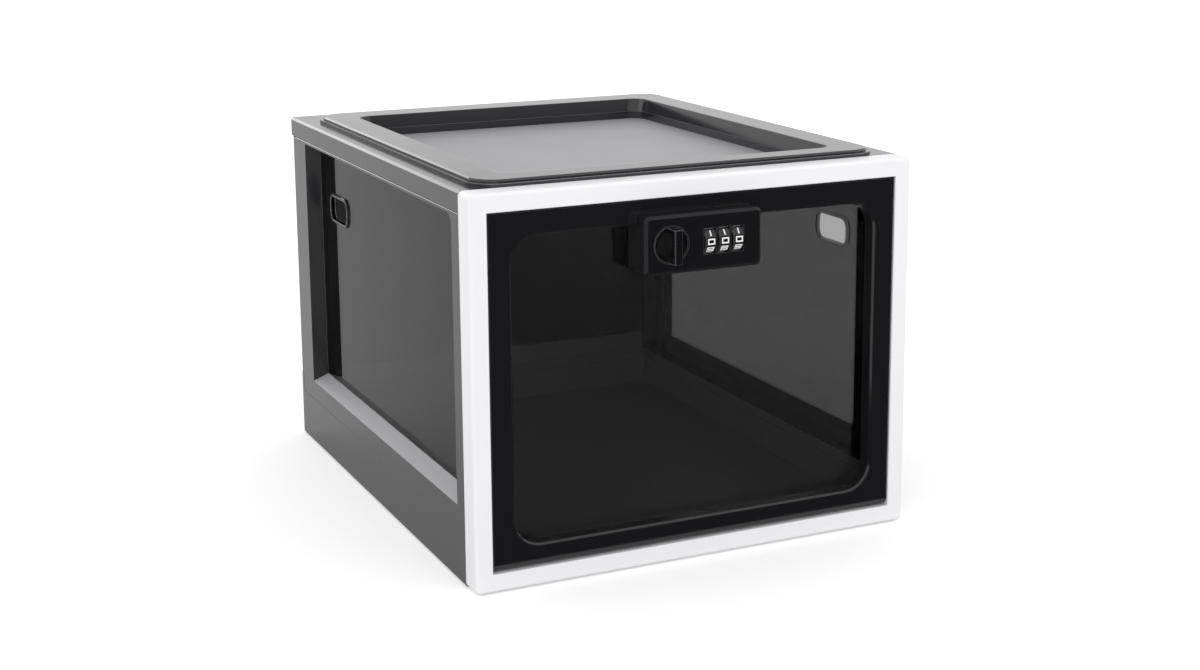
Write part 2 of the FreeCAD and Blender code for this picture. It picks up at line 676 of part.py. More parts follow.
def make_side_panel(label, sign):
    body = new_body(label)
    add(body, "panel", "YZ", *side(sign, "inner_half", "half"),
        rectangle("frame_back", "side_back - fit_gap", "seam_height", "lid_low - fit_gap"))
    outside = f"{sign} * half"
    at_face, front_line = lies_at("x", outside), number("frame_back")
    bevel(body, "seam_edge", "seam_bevel", lambda edge: at_face(edge) and middle(edge).y > front_line + SMALL)
    add(body, "lid_key", "YZ", *side(sign, "inner_half", "half - wall - fit_gap"),
        rectangle("frame_back + fit_gap", "side_back - fit_gap", "lid_low - wall", "lid_under"))
    add(body, "frame_key", "YZ",
        *side(sign, "opening_half + frame_wall + fit_gap", "half - frame_wall - fit_gap"),
        rectangle("frame_back - tongue", "frame_back + wall", "seam_height + fit_gap", "opening_high"))
    add(body, "base_key", "YZ", *side(sign, "key_middle - key_width / 2", "key_middle + key_width / 2"),
        rectangle("recess_front", "recess_back", "seam_height - key_depth", "seam_height + wall"))
    cut_between(body, "window_recess", "YZ", outside, recess(0), f"{sign} * pane_out", recess(1))
    cut(body, "window_seat", "YZ", *side(sign, "pane_in", "pane_out"), recess(1))
    cut(body, "window_opening", "YZ", *side(sign, "inner_half", "pane_in"),
        rectangle("recess_front + jamb_lean + flange_width", "recess_back - jamb_lean - flange_width",
                  "recess_low + sill_rise + wall", "recess_high - jamb_lean - flange_width / 2",
                  "flange_corner"))
    cut(body, "back_stile_core", "YZ", *side(sign, "inner_half", "half - wall"),
        rectangle("recess_back + wall", "side_back - fit_gap - wall", "seam_height + core_border",
                  "lid_low - core_border"))
    cut(body, "lower_rail_core", "YZ", *side(sign, "inner_half", "key_middle - key_width / 2 - key_wall"),
        rectangle("recess_front", "recess_back - wall", "seam_height + wall", "recess_low"))
    return body


def make_side_window(label, sign):
    """The smoked pane with its cable hole. Both sides use the same moulding, turned round."""
    body = new_body(label)
    add(body, "pane", "YZ", *side(sign, "pane_in", "pane_out"), recess(1, "fit_gap"))
    middle_y = f"window_middle - {sign} * hole_offset"

    def around(extra):
        return rectangle(f"{middle_y} - hole_length / 2 - {extra}", f"{middle_y} + hole_length / 2 + {extra}",
                         f"hole_height - hole_width / 2 - {extra}", f"hole_height + hole_width / 2 + {extra}",
                         f"hole_corner + {extra}")
    add(body, "hole_rim", "YZ", *side(sign, "pane_out - edge_round", "pane_out + rim_rise"),
        around("rim_width"))
    bevel(body, "rim_bevel", "edge_round / 2", lies_at("x", f"{sign} * (pane_out + rim_rise)"))
    cut(body, "cable_hole", "YZ", *side(sign, "pane_in", "pane_out + rim_rise"), around("0"))
    return body


# ---------------------------------------------------------------- rear panel

def make_rear_panel():
    body = new_body("rear_panel")
    add(body, "plate", "XZ", "panel_inside", "panel_back",
        rectangle("-(half - fit_gap)", "half - fit_gap", "rear_seam", "lid_low - fit_gap"))
    for sign, hand in ((-1, "left"), (1, "right")):
        low_x, high_x = side(sign, "half - wall - fit_gap", "half - fit_gap")
        add(body, hand + "_return", "XZ", "side_back", "panel_back",
            rectangle(low_x, high_x, "rear_seam", "lid_low - fit_gap"))
    back = number("panel_back")
    round_off(body, "upright_corners", "case_corner - edge_round",
              lambda edge: edge.BoundBox.XLength < SMALL and edge.BoundBox.YLength < SMALL
              and abs(middle(edge).y - back) < SMALL)
    add(body, "lid_key", "XZ", "panel_inside", "panel_back - edge_round",
        rectangle("-(inner_half - fit_gap)", "inner_half - fit_gap", "lid_low - wall", "lid_under"))
    add(body, "base_key", "XZ", "panel_inside + edge_round", "panel_back - edge_round",
        rectangle("-inner_half", "inner_half", "rear_seam - key_depth", "rear_seam + wall"))
    cut(body, "field", "XZ", "panel_back - edge_round", "panel_back",
        rectangle("-(inner_half - field_border)", "inner_half - field_border", "rear_seam + field_border",
                  "lid_low - field_border"))
    return body


# ---------------------------------------------------------------- lid

def make_lid():
    body = new_body("lid")
    add(body, "block", "XY", "lid_low", "case_height",
        rectangle("-half", "half", "frame_back", "lid_back"))
    back = number("lid_back")
    round_off(body, "upright_corners", "case_corner - edge_round",
              lambda edge: edge.BoundBox.ZLength > SMALL and abs(middle(edge).y - back) < SMALL
              and edge.BoundBox.XLength < SMALL)
    at_top, at_seam, front_line = lies_at("z", "case_height"), lies_at("z", "lid_low"), number("frame_back")
    bevel(body, "top_edge", "lid_edge", lambda edge: at_top(edge) and middle(edge).y > front_line + SMALL)
    bevel(body, "seam_edge", "seam_bevel", lambda edge: at_seam(edge) and middle(edge).y > front_line + SMALL)
    cut(body, "under_lid", "XY", "lid_low", "lid_under",
        rectangle("-(half - wall)", "half - wall", "frame_back", "lid_back - wall"))
    add(body, "ring_step_pad", "XY", "lid_under", "case_height + ring_step_rise",
        rectangle("-(ring_half + ring_step)", "ring_half + ring_step", "frame_back + ring_gap",
                  "ring_end + ring_step", "ring_corner + ring_step"))
    add(body, "ring_pad", "XY", "lid_under", "ring_top",
        rectangle("-ring_half", "ring_half", "ring_start", "ring_end", "ring_corner"))
    bevel(body, "ring_edge", "edge_round", lies_at("z", "ring_top"))
    tub = rectangle("-(tray_half + wall)", "tray_half + wall", "tray_start - wall", "tray_end + wall")
    add(body, "tub", "XY", "tray_floor - wall", "case_height", tub)
    cut_between(body, "tray", "XY",
                "ring_top", rectangle("-tray_half", "tray_half", "tray_start", "tray_end", "tray_corner"),
                "tray_crease", rectangle("-(tray_half - tray_draft)", "tray_half - tray_draft",
                                         "tray_start + tray_draft", "tray_end - tray_draft", "tray_corner"))
    cut(body, "tray_bottom", "XY", "tray_floor", "tray_crease",
        rectangle("-(tray_half - tray_draft - fit_gap)", "tray_half - tray_draft - fit_gap",
                  "tray_start + tray_draft + fit_gap", "tray_end - tray_draft - fit_gap", "tray_corner"))
    cut(body, "under_ring", "XY", "lid_under - edge_round", "ring_top - wall",
        rectangle("-(ring_half - wall)", "ring_half - wall", "ring_start + wall", "ring_end - wall",
                  "ring_corner - wall"), tub)
    add(body, "front_tongue", "XZ", "frame_back - tongue", "frame_back + wall",
        rectangle("-(inner_half - fit_gap)", "inner_half - fit_gap",
                  "opening_high + frame_wall + tongue_lift", "case_height - frame_wall - fit_gap"))
    add(body, "tongue_root", "XZ", "frame_back", "frame_back + wall",
        rectangle("-(inner_half - fit_gap)", "inner_half - fit_gap",
                  "opening_high + frame_wall + tongue_lift", "lid_under + edge_round"))
    return body


# ---------------------------------------------------------------- door

def make_door_panel():
    body = new_body("door_panel")
    add(body, "leaf", "YZ", "-door_half", "door_half",
        rectangle("door_face", "door_back", "hinge_z", "door_high"))
    at_face = lies_at("y", "door_face")
    bevel(body, "leaf_edge", "edge_round / 2",
          lambda edge: at_face(edge) and middle(edge).z > number("hinge_z") + SMALL)
    add(body, "barrel", "YZ", "-door_half", "door_half", disc("hinge_y", "hinge_z", "barrel_radius"))
    cut(body, "well", "XZ", "door_face", "door_back",
        rectangle("-well_half", "well_half", "well_low", "well_high", "well_corner"))
    half, low, high = number("well_half") + SMALL, number("well_low") - SMALL, number("well_high") + SMALL

    def around_well(edge):
        box = edge.BoundBox
        return at_face(edge) and -half < box.XMin and box.XMax < half and low < box.ZMin and box.ZMax < high
    bevel(body, "well_edge", "well_bevel", around_well)
    cut(body, "window_rebate", "XZ", "pane_face", "door_back",
        rectangle("-(well_half + door_rebate)", "well_half + door_rebate", "well_low - door_rebate",
                  "well_high + door_rebate", "well_corner + door_rebate"))
    for sign, hand in ((-1, "left"), (1, "right")):
        low_x, high_x = side(sign, "well_half + door_wall", "door_half - wall")
        cut(body, hand + "_core", "XZ", "door_face + wall", "door_back",
            rectangle(low_x, high_x, "well_low", "door_high - wall"))
        cut(body, hand + "_pin_hole", "YZ", *side(sign, "door_half - pin_grip", "door_half"),
            disc("hinge_y", "hinge_z", "pin_radius"))
    cut(body, "top_core", "XZ", "door_face + wall", "door_back",
        rectangle("-(well_half + door_wall)", "well_half + door_wall", "well_high + door_wall",
                  "door_high - wall"))
    cut(body, "lock_cutout", "XZ", "door_face", "door_back",
        rectangle("lock_left - fit_gap", "lock_right + fit_gap", "lock_low - fit_gap", "lock_high + fit_gap",
                  "lock_corner"))
    return body


def make_door_window():
    body = new_body("door_window")
    grow = "door_rebate - fit_gap"
    add(body, "pane", "XZ", "pane_face", "door_back",
        rectangle(f"-(well_half + {grow})", f"well_half + {grow}", f"well_low - ({grow})",
                  f"well_high + {grow}", f"well_corner + {grow}"))
    cut(body, "lock_notch", "XZ", "pane_face", "door_back",
        rectangle("lock_left + lock_wall", "lock_right - lock_wall", "lock_low + lock_wall",
                  "well_high + door_rebate"))
    return body


def make_hinge_pins():
    pin = new_body("hinge_pin", node=False)
    add(pin, "rod", "YZ", "door_half - pin_grip", "opening_half + pin_socket - pin_end_gap",
        disc("hinge_y", "hinge_z", "pin_radius"))
    return mirrored_set("hinge_pins", pin, (("x", "0"),))


# ---------------------------------------------------------------- lock

def make_lock_housing():
    body = new_body("lock_housing")
    add(body, "case", "XZ", "lock_face", "pane_face",
        rectangle("lock_left", "lock_right", "lock_low", "lock_high", "lock_corner"))
    bevel(body, "face_bevel", "lock_bevel", lies_at("y", "lock_face"))
    cut(body, "inside", "XZ", "lock_inside", "pane_face",
        rectangle("lock_left + lock_wall", "lock_right - lock_wall", "lock_low + lock_wall",
                  "lock_high - lock_wall"))
    for name, near, far in (("left_web", "web_left - rib_thickness", "web_left"),
                            ("right_web", "web_right", "web_right + rib_thickness")):
        add(body, name, "XZ", "lock_inside", "rib_back",
            rectangle(near, far, "lock_low + lock_wall / 2", "lock_high - lock_wall / 2"))
    for name, x, z in post_places():
        add(body, name, "XZ", "lock_inside", "pane_face",
            rectangle(f"{x} - post_width / 2", f"{x} + post_width / 2",
                      f"{z} - post_width / 2", f"{z} + post_width / 2"))
        cut(body, name + "_bore", "XZ", "cover_back - screw_length", "pane_face", disc(x, z, "screw_radius"))
    cut(body, "axle_bore", "YZ", "web_left - rib_thickness", "web_right + rib_thickness",
        disc("axle_y", "lock_z", "axle_radius"))
    cut(body, "knob_hole", "XZ", "lock_face", "lock_inside",
        disc("knob_x", "lock_z", "knob_radius + turn_clearance"))
    slot = cut(body, "wheel_slot", "XZ", "lock_face", "lock_inside",
               rectangle("wheel_x - wheel_pitch - wheel_width / 2 - slot_gap",
                         "wheel_x - wheel_pitch + wheel_width / 2 + slot_gap",
                         "lock_z - slot_half", "lock_z + slot_half"))
    repeat(body, "wheel_slots", slot, 3, "X", "wheel_pitch * 2")
    return body


def post_places():
    return (("low_post", "lock_x - post_x", "lock_z - post_z"),
            ("high_post", "lock_x + post_x", "lock_z + post_z"))


def make_lock_cover():
    body = new_body("lock_back_cover")
    add(body, "plate", "XZ", "door_back", "cover_back",
        rectangle("lock_left + cover_set", "lock_right - cover_set", "lock_low + cover_set",
                  "lock_high - cover_set"))
    bevel(body, "plate_edge", "edge_round", lies_at("y", "cover_back"))
    add(body, "neck", "XZ", "pane_face", "door_back + edge_round",
        rectangle("lock_left + lock_wall + fit_gap", "lock_right - lock_wall - fit_gap",
                  "lock_low + lock_wall + fit_gap", "lock_high - lock_wall - fit_gap"))
    cut(body, "spindle_hole", "XZ", "pane_face", "cover_back",
        disc("knob_x", "lock_z", "spindle_radius + shaft_clearance"))
    for name, x, z in post_places():
        cut(body, name + "_hole", "XZ", "pane_face", "cover_back", disc(x, z, "screw_radius"))
    cut(body, "lever_hole", "XZ", "pane_face", "cover_back",
        disc("lever_x", "lock_z", "lever_pivot + shaft_clearance"))
    return body


def make_lock_screws():
    screws = []
    for name, x, z in post_places():
        screw = new_body(name + "_screw", node=False)
        add(screw, "head", "XZ", "0", "screw_head_height", disc("0", "0", "screw_head"))
        add(screw, "shank", "XZ", "-screw_length", "0", disc("0", "0", "screw_radius"))
        place(screw, x, "cover_back", z)
        screws.append(screw)
    return join("lock_screws", screws)


def make_knob():
    """Disc with a dished face and a bar across it, about the spindle's axis; y is 0 at the
    housing's face."""
    body = new_body("lock_knob")
    lip = "(knob_radius - dish_radius) / 2"
    turn(body, "disc", "XY", "V_Axis",
         [("0", "knob_depth"), ("knob_radius", "knob_depth"), ("knob_radius", lip),
          (f"knob_radius - {lip}", "0"), ("dish_radius", "0"), ("dish_radius - dish_slope", "dish_depth"),
          ("0", "dish_depth")])
    end = "sqrt(dish_radius^2 - grip_width^2 / 4)"
    add(body, "bar", "XZ", "-grip_stand", "dish_depth + edge_round",
        outline([("-grip_width / 2", f"-{end}"), ("grip_width / 2", f"-{end}"),
                 ("grip_width / 2", end), ("-grip_width / 2", end)],
                {0: "dish_radius", 2: "dish_radius"}))
    bevel(body, "bar_edge", "edge_round / 2", lies_at("y", "-grip_stand"))
    place(body, "knob_x", "lock_face", "lock_z")
    return body


def make_spindle():
    """Barrel behind the knob, round shaft through the cover and square end for the cam."""
    body = new_body("lock_spindle")
    add(body, "barrel", "XZ", "knob_depth", "pane_face - shoulder_gap - lock_face",
        disc("0", "0", "spindle_barrel"))
    add(body, "shaft", "XZ", "knob_depth", "cover_back - lock_face", disc("0", "0", "spindle_radius"))
    add(body, "square_end", "XZ", "cover_back - lock_face - wall", "cam_back - lock_face",
        rectangle("-spindle_square / 2", "spindle_square / 2", "-spindle_square / 2", "spindle_square / 2"))
    cut(body, "screw_bore", "XZ", "cam_back - lock_face - cam_screw_length - edge_round",
        "cam_back - lock_face", disc("0", "0", "screw_radius"))
    place(body, "knob_x", "lock_face", "lock_z")
    return body


def make_cam():
    """The tongue points sideways while the lock is open, and up behind the strike once it is shut."""
    body = new_body("lock_cam")
    tip = "cam_reach"
    side_z = "cam_width / 2"
    add(body, "hub", "XZ", "0", "cam_thickness", disc("0", "0", "cam_hub"))
    add(body, "tongue_plate", "XZ", "0", "cam_thickness",
        outline([("0", f"-{side_z}"), (f"{tip} - wall", f"-({side_z} - edge_round)"),
                 (tip, f"-({side_z} - wall)"), (tip, f"{side_z} - wall"),
                 (f"{tip} - wall", f"{side_z} - edge_round"), ("0", side_z)]))
    cut(body, "square_hole", "XZ", "0", "cam_thickness",
        rectangle("-spindle_square / 2", "spindle_square / 2", "-spindle_square / 2", "spindle_square / 2"))
    place(body, "knob_x", "cam_face", "lock_z")
    return body


def make_cam_screw():
    body = new_body("cam_screw")
    half, tall = "cam_screw_head / 2", "cam_screw_head * sqrt(3) / 2"
    corners = [("cam_screw_head", "0"), (half, tall), (f"-{half}", tall),
               ("-cam_screw_head", "0"), (f"-{half}", f"-{tall}"), (half, f"-{tall}")]
    add(body, "head", "XZ", "0", "cam_screw_height", outline(corners))
    add(body, "shank", "XZ", "-cam_screw_length", "0", disc("0", "0", "screw_radius"))
    place(body, "knob_x", "cam_back", "lock_z")
    return body


def make_wheel(count, step):
    """Ring about its own axis with a flat for each number, one of them to the front."""
    body = new_body(f"number_wheel_{count}")
    angles = [360 * (k + 0.5) / NUMBERS for k in range(NUMBERS)]
    add(body, "ring", "YZ", "-wheel_width / 2", "wheel_width / 2",
        outline([(f"wheel_radius * cos({angle})", f"wheel_radius * sin({angle})") for angle in angles]),
        disc("0", "0", "sleeve_radius"))
    bevel(body, "ring_edges", "wheel_bevel",
          lambda edge: edge.BoundBox.XLength < SMALL and len(edge.Vertexes) == 2)
    place(body, f"wheel_x + {step} * wheel_pitch", "axle_y", "lock_z")
    return body


def make_sleeve(count, step):
    """Code sleeve in the wheel, with the flat that lets the lock turn at the right number."""
    body = new_body(f"code_sleeve_{count}")
    add(body, "tube", "YZ", "-(wheel_width / 2 + sleeve_proud)", "wheel_width / 2 + sleeve_proud",
        disc("0", "0", "sleeve_radius"), disc("0", "0", "axle_radius + shaft_clearance"))
    cut(body, "code_flat", "YZ", "wheel_width / 2", "wheel_width / 2 + sleeve_proud",
        rectangle("sleeve_radius - sleeve_flat", "sleeve_radius + sleeve_flat", "-sleeve_radius",
                  "sleeve_radius"))
    place(body, f"wheel_x + {step} * wheel_pitch", "axle_y", "lock_z")
    return body


def make_axle():
    body = new_body("wheel_axle")
    add(body, "rod", "YZ", "web_left - rib_thickness", "web_right + rib_thickness",
        disc("axle_y", "lock_z", "axle_radius"))
    return body


def make_detent_spring():
    """Strip across the two webs, with a finger behind each wheel."""
    body = new_body("detent_spring")
    strip_low = "lock_z + wheel_radius"
    add(body, "strip", "XZ", "rib_back", "rib_back + spring_thickness",
        rectangle("web_left - rib_thickness", "web_right + rib_thickness", strip_low,
                  "lock_high - lock_wall - edge_round"))
    finger_x = "wheel_x - wheel_pitch"
    finger = add(body, "finger", "XZ", "rib_back", "rib_back + spring_thickness",
                 rectangle(f"{finger_x} - finger_width / 2", f"{finger_x} + finger_width / 2",
                           "lock_z - finger_width", f"{strip_low} + edge_round"))
    repeat(body, "fingers", finger, 3, "X", "wheel_pitch * 2")
    return body


def make_code_lever():
    """Small lever inside the door that frees the sleeves while a new code is set."""
    body = new_body("code_lever")
    add(body, "pivot", "XZ", "-cover_thickness", "0", disc("0", "0", "lever_pivot"))
    add(body, "head", "XZ", "0", "lever_thickness", disc("0", "0", "lever_head"))
    add(body, "arm", "XZ", "0", "lever_thickness",
        rectangle("-lever_width / 2", "lever_width / 2", "-lever_length", "0"))
    place(body, "lever_x", "cover_back", "lock_z")
    return body


# ---------------------------------------------------------------- assembly

make_front_frame()
make_strike_plate()
make_base_tray()
make_feet()
for hand, sign in (("left", -1), ("right", 1)):
    make_side_panel(hand + "_side_panel", sign)
    make_side_window(hand + "_side_window", sign)
make_rear_panel()
make_lid()
make_door_panel()
make_door_window()
make_hinge_pins()
make_lock_housing()
make_lock_cover()
make_lock_screws()
make_knob()
make_spindle()
make_cam()
make_cam_screw()
for count, step in ((1, -1), (2, 0), (3, 1)):
    make_wheel(count, step)
    make_sleeve(count, step)
make_axle()
make_detent_spring()
make_code_lever()

doc.recompute()
for item in doc.Objects:
    if "Invalid" in item.State or "Error" in item.State:
        raise RuntimeError(f"{item.Name}: {item.State}")
for node in nodes:
    if node.Shape.isNull() or not node.Shape.isValid():
        raise RuntimeError(f"{node.Label} has no valid shape")

os.makedirs("parts", exist_ok=True)
for node in nodes:
    node.Shape.exportStep(f"parts/{node.Label}.step")
    box = node.Shape.BoundBox
    print(f"{node.Label:20s} {len(node.Shape.Solids)} solid, {node.Shape.Volume / 1000:8.2f} cm3, "
          f"x {box.XMin:.1f}..{box.XMax:.1f}, y {box.YMin:.1f}..{box.YMax:.1f}, "
          f"z {box.ZMin:.1f}..{box.ZMax:.1f}")
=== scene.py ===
"""Looks of a lockable storage box: gloss black ABS case, white ABS front frame, smoked acrylic windows and
a small three-wheel combination lock.

Lengths are in metres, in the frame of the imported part: X to the right, Y from the door to the back, Z up
from the surface that the feet stand on. A length marked mm is turned to metres by MM where it is used."""
import json
import math

import bmesh
import bpy
from mathutils import Matrix, Vector


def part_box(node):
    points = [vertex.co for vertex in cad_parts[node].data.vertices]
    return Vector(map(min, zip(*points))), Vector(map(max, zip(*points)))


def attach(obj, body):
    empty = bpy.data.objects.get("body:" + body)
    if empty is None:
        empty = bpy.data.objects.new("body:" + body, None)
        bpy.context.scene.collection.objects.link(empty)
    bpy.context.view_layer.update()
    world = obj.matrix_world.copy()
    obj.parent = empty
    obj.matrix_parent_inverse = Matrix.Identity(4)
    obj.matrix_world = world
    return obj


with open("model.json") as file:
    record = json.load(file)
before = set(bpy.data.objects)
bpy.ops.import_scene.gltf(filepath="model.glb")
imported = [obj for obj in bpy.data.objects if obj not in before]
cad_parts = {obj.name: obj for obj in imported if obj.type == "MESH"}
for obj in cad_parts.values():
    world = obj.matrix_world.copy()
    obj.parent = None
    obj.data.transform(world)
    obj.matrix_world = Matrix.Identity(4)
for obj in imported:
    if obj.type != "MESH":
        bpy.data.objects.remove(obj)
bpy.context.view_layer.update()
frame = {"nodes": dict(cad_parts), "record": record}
nodes = frame["nodes"]
MM = 0.001

# ---------------------------------------------------------------- camera

CAMERA_PLACE = (-451.1, -996.5, 373.0)      # mm
CAMERA_TURN, CAMERA_RISE, CAMERA_ROLL = -24.88, 11.47, -0.39      # degrees
LENS, SENSOR_WIDTH = 56.03, 36      # mm, as the camera takes them
FRAME_WIDTH = 1200      # px
FRAME_SHIFT = -100      # px, which puts the box higher in the frame


def make_camera():
    """A camera in front of the box, to its left and a little above it."""
    turn, rise = math.radians(CAMERA_TURN), math.radians(CAMERA_RISE)
    back = Vector((math.sin(turn) * math.cos(rise), -math.cos(turn) * math.cos(rise), math.sin(rise)))
    aim = (-back).to_track_quat("-Z", "Y").to_matrix().to_4x4()
    roll = Matrix.Rotation(math.radians(CAMERA_ROLL), 4, "Z")
    camera = bpy.data.objects.new("camera", bpy.data.cameras.new("camera"))
    bpy.context.scene.collection.objects.link(camera)
    camera.matrix_world = Matrix.Translation(Vector(CAMERA_PLACE) * MM) @ aim @ roll
    camera.data.lens = LENS
    camera.data.sensor_width = SENSOR_WIDTH
    camera.data.shift_y = FRAME_SHIFT / FRAME_WIDTH
    bpy.context.scene.camera = camera


make_camera()

# ---------------------------------------------------------------- material helpers

EDGE_RAYS = 8      # sent into the material from each point, to feel where it is thin
EDGE_BEGINS, EDGE_FULL = 0.9, 0.55      # share of those rays that meets no other face within reach
MIXED_COLOUR = 2      # place of a Mix node's colour output, as its outputs share one name


def linear(code):
    """A colour written as sRGB hex, turned to the linear values that Blender works with."""
    channels = [int(code[k:k + 2], 16) / 255 for k in (1, 3, 5)]
    red, green, blue = [c / 12.92 if c <= 0.04045 else ((c + 0.055) / 1.055) ** 2.4 for c in channels]
    return red, green, blue, 1.0


def per_metre(size_mm):
    """Scale of a pattern whose features are this many millimetres apart."""
    return 1 / (size_mm * MM)


def add_node(tree, kind, settings=None, **inputs):
    """Adds a node. settings are the node's own properties. inputs are values for its sockets, or links from
    other nodes, by a socket's name, or by its identifier where several share a name."""
    node = tree.nodes.new(kind)
    for name, value in (settings or {}).items():
        setattr(node, name, value)
    for name, value in inputs.items():
        socket = next(s for s in node.inputs if name in (s.identifier, s.name.replace(" ", "_")))
        if isinstance(value, bpy.types.NodeSocket):
            tree.links.new(value, socket)
        else:
            socket.default_value = value
    return node


def start_material(name):
    """A new material and its empty node tree."""
    material = bpy.data.materials.new(name)
    material.use_nodes = True
    material.node_tree.nodes.clear()
    return material, material.node_tree


def close_material(material, tree, shader):
    """Makes shader the surface of the material."""
    add_node(tree, "ShaderNodeOutputMaterial", Surface=shader.outputs[0])
    return material


# Marks the outer edges, where the painted highlights go.
def painted_edge_mask(tree, reach_mm):
    """A mask that is 1 at the outer edges of a piece and 0 where it is reach_mm thick or more."""
    depth = add_node(tree, "ShaderNodeAmbientOcclusion",
                     {"inside": True, "only_local": True, "samples": EDGE_RAYS}, Distance=reach_mm * MM)
    mask = add_node(tree, "ShaderNodeMapRange", Value=depth.outputs["AO"], From_Min=EDGE_BEGINS,
                    From_Max=EDGE_FULL)
    return mask.outputs["Result"]


# ---------------------------------------------------------------- kinds of material

NOISE_LOW, NOISE_HIGH = 0.3, 0.7      # a noise pattern seldom leaves this range
ABS_IOR = 1.54
POLISH_DRIFT = 60      # mm between the glossier and duller patches of a moulding
SHEET_DRIFT = 90      # mm between those of a cast sheet
SHEET_ROUGHNESS = 0.02      # at its dullest
# The acrylic's outer edges are painted pale and less clear: a painted highlight along them.
EDGE_HIGHLIGHT_COLOUR = "#D8D8D8"
EDGE_HIGHLIGHT_REACH = 0.6      # mm
EDGE_HIGHLIGHT_CLEAR = 0.2      # share of the light that still passes where the edge highlight is painted
TOOL_SPREAD = 0.3      # how far a tool's lines move a metal's roughness each way, as a share of it


def moulded_plastic(name, colour, roughness, spread, texture_mm, depth_mm, edge_highlight=None, ior=ABS_IOR):
    """Injection-moulded plastic. Its roughness drifts as the mould's polish does, by spread each way, and
    the mould's texture leaves a fine relief. A paler colour, given with how far in it reaches in mm, is
    painted along the outer edges as a painted highlight."""
    material, tree = start_material(name)
    place = add_node(tree, "ShaderNodeTexCoord").outputs["Object"]
    drift = add_node(tree, "ShaderNodeTexNoise", Vector=place, Scale=per_metre(POLISH_DRIFT), Detail=3.0)
    gloss = add_node(tree, "ShaderNodeMapRange", Value=drift.outputs["Fac"], From_Min=NOISE_LOW,
                     From_Max=NOISE_HIGH, To_Min=roughness - spread, To_Max=roughness + spread)
    grain = add_node(tree, "ShaderNodeTexNoise", Vector=place, Scale=per_metre(texture_mm), Detail=2.0)
    relief = add_node(tree, "ShaderNodeBump", Height=grain.outputs["Fac"], Strength=1.0,
                      Distance=depth_mm * MM)
    shader = add_node(tree, "ShaderNodeBsdfPrincipled", Base_Color=linear(colour), IOR=ior,
                      Roughness=gloss.outputs["Result"], Normal=relief.outputs["Normal"])
    # Painted highlight: a paler colour along the outer edges stands in for light catching them.
    if edge_highlight:
        highlight_colour, reach_mm = edge_highlight
        paint = add_node(tree, "ShaderNodeMix", {"data_type": "RGBA"}, Factor=painted_edge_mask(tree, reach_mm),
                         A_Color=linear(colour), B_Color=linear(highlight_colour))
        tree.links.new(paint.outputs[MIXED_COLOUR], shader.inputs["Base Color"])
    return close_material(material, tree, shader)


def smoked_acrylic(name, colour, ior):
    """Cast acrylic sheet with a smoke dye. Its faces mirror sharply and the dye takes light on the way
    through. Its outer edges are painted pale and less clear, a painted highlight along them."""
    material, tree = start_material(name)
    place = add_node(tree, "ShaderNodeTexCoord").outputs["Object"]
    drift = add_node(tree, "ShaderNodeTexNoise", Vector=place, Scale=per_metre(SHEET_DRIFT), Detail=2.0)
    gloss = add_node(tree, "ShaderNodeMapRange", Value=drift.outputs["Fac"], To_Min=0.0,
                     To_Max=SHEET_ROUGHNESS)
    # Painted highlight: the outer edges get a paler colour and let less light through.
    edges = painted_edge_mask(tree, EDGE_HIGHLIGHT_REACH)
    paint = add_node(tree, "ShaderNodeMix", {"data_type": "RGBA"}, Factor=edges, A_Color=linear(colour),
                     B_Color=linear(EDGE_HIGHLIGHT_COLOUR))
    clear = add_node(tree, "ShaderNodeMapRange", Value=edges, To_Min=1.0, To_Max=EDGE_HIGHLIGHT_CLEAR)
    shader = add_node(tree, "ShaderNodeBsdfPrincipled", Base_Color=paint.outputs[MIXED_COLOUR], IOR=ior,
                      Roughness=gloss.outputs["Result"], Transmission_Weight=clear.outputs["Result"])
    return close_material(material, tree, shader)


def tooled_metal(name, colour, roughness, lines_mm):
    """Bare or plated metal, whose gloss changes with the fine lines that the tool left."""
    material, tree = start_material(name)
    place = add_node(tree, "ShaderNodeTexCoord").outputs["Object"]
    lines = add_node(tree, "ShaderNodeTexNoise", Vector=place, Scale=per_metre(lines_mm), Detail=3.0)
    gloss = add_node(tree, "ShaderNodeMapRange", Value=lines.outputs["Fac"],
                     To_Min=roughness * (1 - TOOL_SPREAD), To_Max=roughness * (1 + TOOL_SPREAD))
    shader = add_node(tree, "ShaderNodeBsdfPrincipled", Base_Color=linear(colour), Metallic=1.0,
                      Roughness=gloss.outputs["Result"])
    return close_material(material, tree, shader)


# ---------------------------------------------------------------- materials

# Gloss ABS from a polished mould: black, with soft reflections. A faint orange peel, drawn at its real
# width, makes them waver. Its outer edges are painted grey, a painted highlight along them.
case_abs = moulded_plastic("gloss_black_abs", "#2A2A2D", 0.13, 0.03, 1.4, 0.0006, edge_highlight=("#5A5A5D", 0.3))

# The lid is of the same plastic. A wider, paler painted highlight along its rounder edges draws pale
# lines round the ring.
lid_abs = moulded_plastic("gloss_black_abs_lid", "#2A2A2D", 0.13, 0.03, 1.4, 0.0006, edge_highlight=("#8A8A8D", 0.7))

# The door's border is the same again in a deeper black, which frames the window. Its outer edges get a
# dark grey painted highlight.
door_abs = moulded_plastic("gloss_black_abs_door", "#19191B", 0.14, 0.03, 1.4, 0.0006,
                           edge_highlight=("#4C4C4E", 0.35))

# Satin white ABS from a finely blasted mould: even and soft, with no sharp glints. Its grain of about
# 0.2 mm is too fine to show, and is drawn 1.2 mm wide.
frame_abs = moulded_plastic("white_abs", "#F2F2F4", 0.32, 0.04, 1.2, 0.001)

# ABS from a spark-eroded mould: the lock is dull and mirrors less than gloss ABS, so its IOR is lower. The
# texture is about 0.15 mm wide, too fine to show, and is drawn 0.5 mm wide.
# A thin pale painted highlight runs along its outer edges.
lock_abs = moulded_plastic("black_abs_lock", "#151518", 0.26, 0.04, 0.5, 0.004, edge_highlight=("#8A8A8C", 0.14),
                           ior=1.34)

